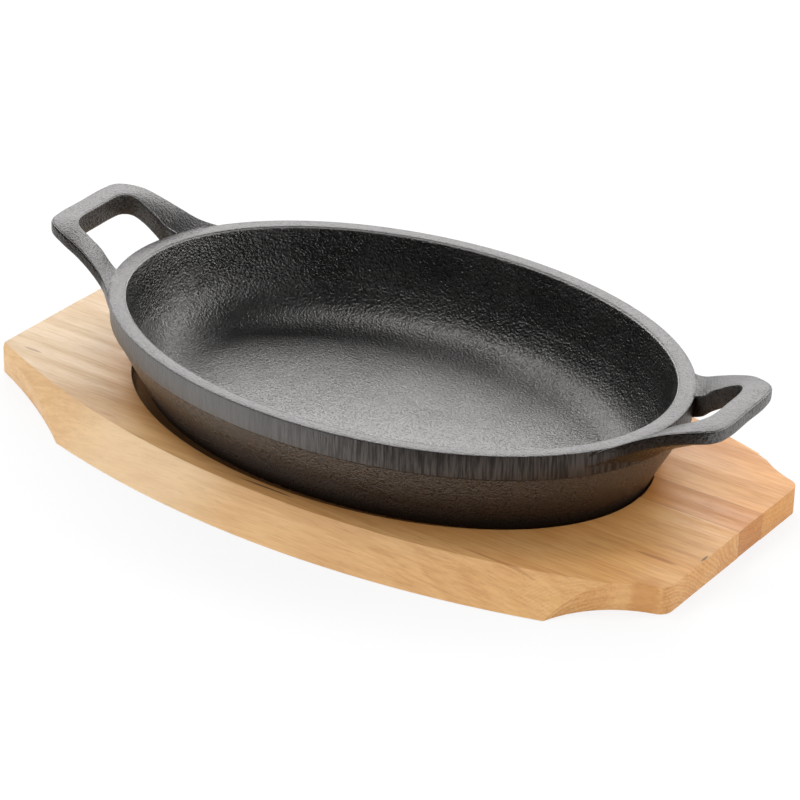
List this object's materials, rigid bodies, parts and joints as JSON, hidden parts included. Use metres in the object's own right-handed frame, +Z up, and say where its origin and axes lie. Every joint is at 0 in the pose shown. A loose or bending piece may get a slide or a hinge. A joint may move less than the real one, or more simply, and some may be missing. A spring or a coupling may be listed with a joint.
{
  "type": "oval gratin dish on a board",
  "caption": "Oval cast iron gratin dish with two raised loop handles, resting in the oval recess of a flat hardwood board with bevelled long sides.",
  "frame": {"origin": "middle of the board's underside, which is the middle of the object's bounding box at its lowest level", "axes": "+X along the board's length towards its right end, +Y towards the rear stave, +Z up out of the board"},
  "size_m": [0.28, 0.1724, 0.0543],
  "materials": {
    "cast_iron": "rough sand-cast and seasoned, dark grey-black, semi-matt, with a ground rim and collar",
    "wood_front": "sanded and lightly oiled pale hardwood",
    "wood_middle": "sanded and lightly oiled pale hardwood",
    "wood_rear": "sanded and lightly oiled pale hardwood"
  },
  "bodies": {
    "root": {"dish": "cast_iron", "board_stave_front": "wood_front", "board_stave_middle": "wood_middle", "board_stave_rear": "wood_rear"}
  },
  "joints": []
}
